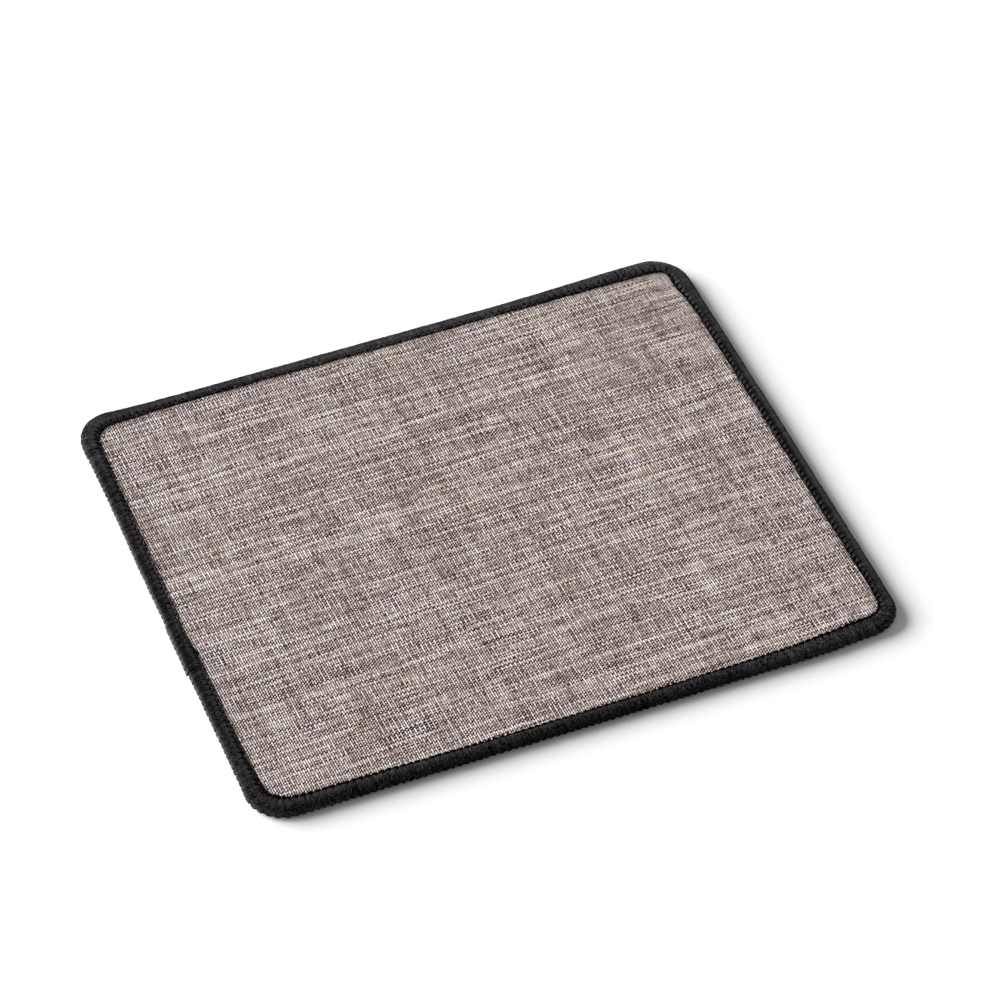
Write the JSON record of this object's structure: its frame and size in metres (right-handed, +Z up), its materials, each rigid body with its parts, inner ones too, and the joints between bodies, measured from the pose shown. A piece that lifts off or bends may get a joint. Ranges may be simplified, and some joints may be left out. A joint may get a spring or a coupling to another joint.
{
  "type": "mouse pad",
  "caption": "Flat rectangular cloth-faced mouse pad with rounded corners, a foamed rubber base and a dark overlocked edge.",
  "frame": {"origin": "on the table top, under the middle of the pad", "axes": "+X along the long side, +Y across the pad away from the user, +Z up out of the cloth face"},
  "size_m": [0.2503, 0.2118, 0.0054],
  "materials": {
    "woven_cloth": "matt plain-woven melange cloth in warm grey and beige with slub yarns",
    "adhesive_film": "thin clear to milky hot-melt film",
    "foamed_rubber": "matt black sponge rubber with a fine grip texture underneath",
    "edge_thread": "black textured polyester sewing thread, matt with a faint fuzz"
  },
  "bodies": {
    "root": {"rubber_base": "foamed_rubber", "bond_film": "adhesive_film", "cloth_face": "woven_cloth", "needle_thread": "edge_thread", "upper_looper_thread": "edge_thread", "lower_looper_thread": "edge_thread", "thread_tail": "edge_thread"}
  },
  "joints": []
}
